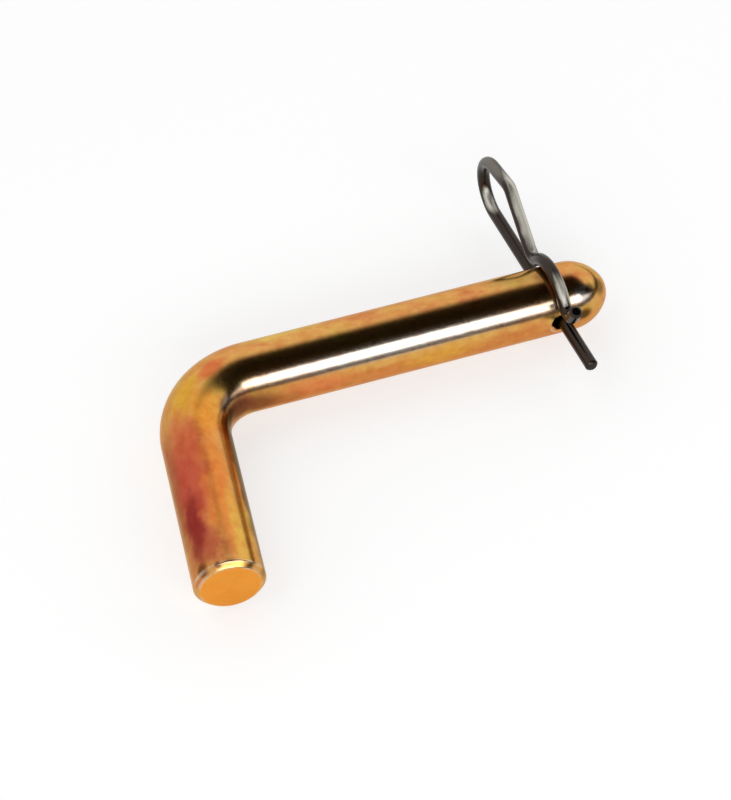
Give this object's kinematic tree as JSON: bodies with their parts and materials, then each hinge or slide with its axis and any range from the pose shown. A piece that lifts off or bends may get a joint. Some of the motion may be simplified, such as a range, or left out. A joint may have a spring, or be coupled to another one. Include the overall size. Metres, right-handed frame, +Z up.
{
  "type": "bent hitch pin",
  "caption": "L-shaped round steel pin with a domed nose, and a spring hairpin clip through a cross hole behind the nose.",
  "frame": {"origin": "on the shank's axis, halfway along its straight stretch", "axes": "+X along the shank to the nose, the handle points to -Y and leans to -X, +Z up with the pin lying flat"},
  "size_m": [0.1134, 0.0947, 0.0225],
  "materials": {
    "plated_bar": "yellow zinc chromate over smooth drawn bar",
    "spring_wire": "bright drawn spring wire"
  },
  "bodies": {
    "pin": {"bent_pin": "plated_bar"},
    "clip": {"spring_clip": "spring_wire"}
  },
  "joints": [
    {"name": "clip_pull", "type": "slide", "parent": "pin", "child": "clip", "axis": [-0.0591, 0.9945, -0.087], "range_m": [0, 0.036], "deforming": ["spring_clip"]}
  ]
}
